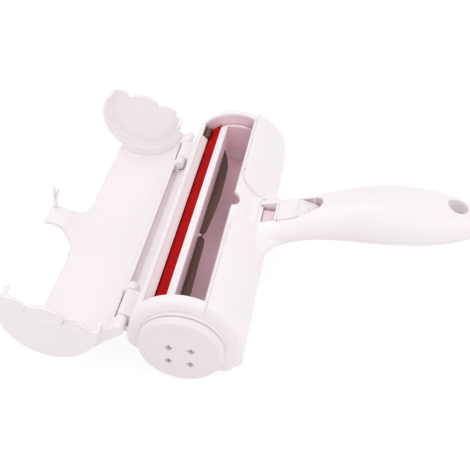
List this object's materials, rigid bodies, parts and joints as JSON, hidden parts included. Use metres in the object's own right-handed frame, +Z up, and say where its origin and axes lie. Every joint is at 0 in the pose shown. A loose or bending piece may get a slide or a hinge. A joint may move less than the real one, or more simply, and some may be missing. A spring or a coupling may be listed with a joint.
{
  "type": "pet hair removal brush",
  "caption": "White plastic pet hair brush with red velvet drum, open hair chamber lid and leaf-shaped handle",
  "frame": {"origin": "on the table in the middle of the near end wall's foot, under the drum's axis", "axes": "x to the handle, y along the drum, z up"},
  "size_m": [0.241, 0.1836, 0.0646],
  "materials": {
    "white_shell": "smooth gloss",
    "white_drum": "smooth matte",
    "disc_white": "smooth matte",
    "red_velvet": "short nap",
    "brown_rubber": "matte",
    "steel": "plain"
  },
  "bodies": {
    "body": {"upper_shell": "white_shell", "lower_shell": "white_shell", "handle_screws": "steel", "front_plate": "white_shell", "front_lip": "brown_rubber", "rear_lip": "brown_rubber", "hinge_pin_near": "steel", "hinge_pin_far": "steel", "bush_near": "white_drum", "bush_far": "white_drum", "button_pin": "steel", "button_spring": "steel"},
    "lid": {"lid_shell": "white_shell"},
    "drum": {"drum_shell": "white_drum", "drum_trough": "white_drum", "velvet_front": "red_velvet", "velvet_rear": "red_velvet", "hair_flap": "brown_rubber", "end_disc_near": "disc_white", "end_disc_far": "disc_white"},
    "button": {"release_button": "white_shell"}
  },
  "joints": [
    {"name": "lid_hinge", "type": "hinge", "parent": "body", "child": "lid", "pos_m": [-0.0325, 0.0785, 0.0249], "axis": [0, 1, 0], "range_deg": [0, 170.5]},
    {"name": "drum_rock", "type": "hinge", "parent": "body", "child": "drum", "pos_m": [0, 0.0785, 0.0224], "axis": [0, 1, 0], "range_deg": [-28, 0]},
    {"name": "button_press", "type": "hinge", "parent": "body", "child": "button", "pos_m": [0.0415, 0.0785, 0.0416], "axis": [0, 1, 0], "range_deg": [0, 4.5], "stiffness_Nm_per_rad": 0.5, "springref_deg": -5.73, "deforming": ["button_spring"]}
  ]
}
